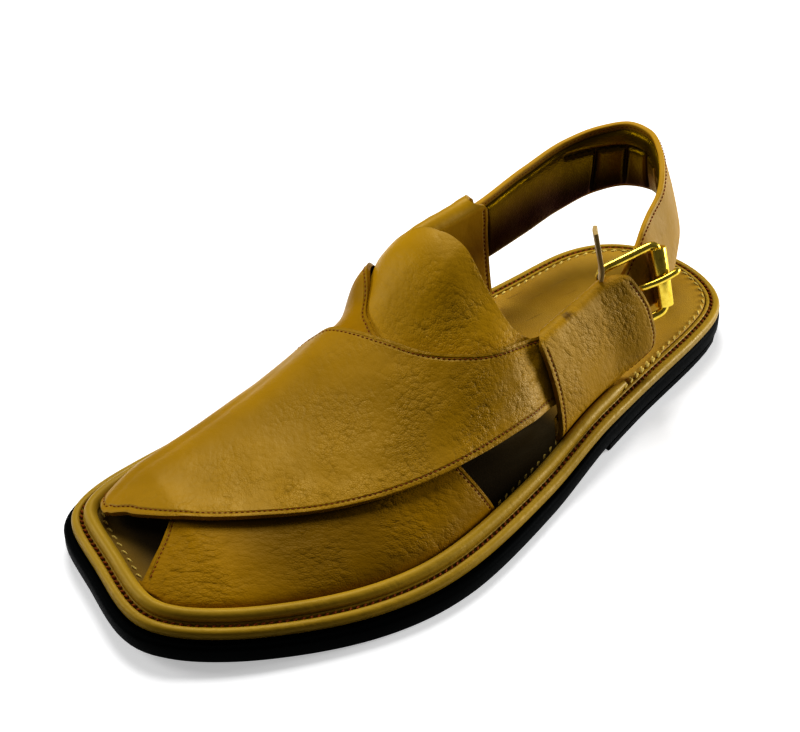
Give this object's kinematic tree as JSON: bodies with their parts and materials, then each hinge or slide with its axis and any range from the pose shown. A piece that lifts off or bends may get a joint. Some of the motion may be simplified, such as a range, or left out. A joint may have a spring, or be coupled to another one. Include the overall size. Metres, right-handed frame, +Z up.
{
  "type": "peshawari chappal sandal",
  "caption": "Low slingback sandal with crossed leather panels closing the toe, side ear loops, a padded heel strap with a roller buckle, and a stitched welt on a rubber sole.",
  "frame": {"origin": "on the ground under the heel, at the middle of the heel block", "axes": "+Z up, -Y towards the toe, +X towards the outer side, where the buckle is"},
  "size_m": [0.1251, 0.2929, 0.0769],
  "materials": {
    "leather_tan": "mustard tan pebbled leather, satin",
    "leather_insole": "tan leather, satin, lightly creased",
    "leather_strap": "smooth tan leather, satin",
    "lining_brown": "dark brown padded lining, glossy",
    "rubber_black": "matt black rubber",
    "brass": "polished brass"
  },
  "bodies": {
    "root": {"outsole": "rubber_black", "heel_block": "rubber_black", "welt": "leather_tan", "insole": "leather_insole", "bead": "leather_tan", "upper": "leather_tan", "buckle_tab": "leather_strap", "back_strap": "leather_strap", "strap_lining": "lining_brown", "buckle_frame": "brass", "buckle_roller": "brass", "buckle_prong": "brass"}
  },
  "joints": []
}
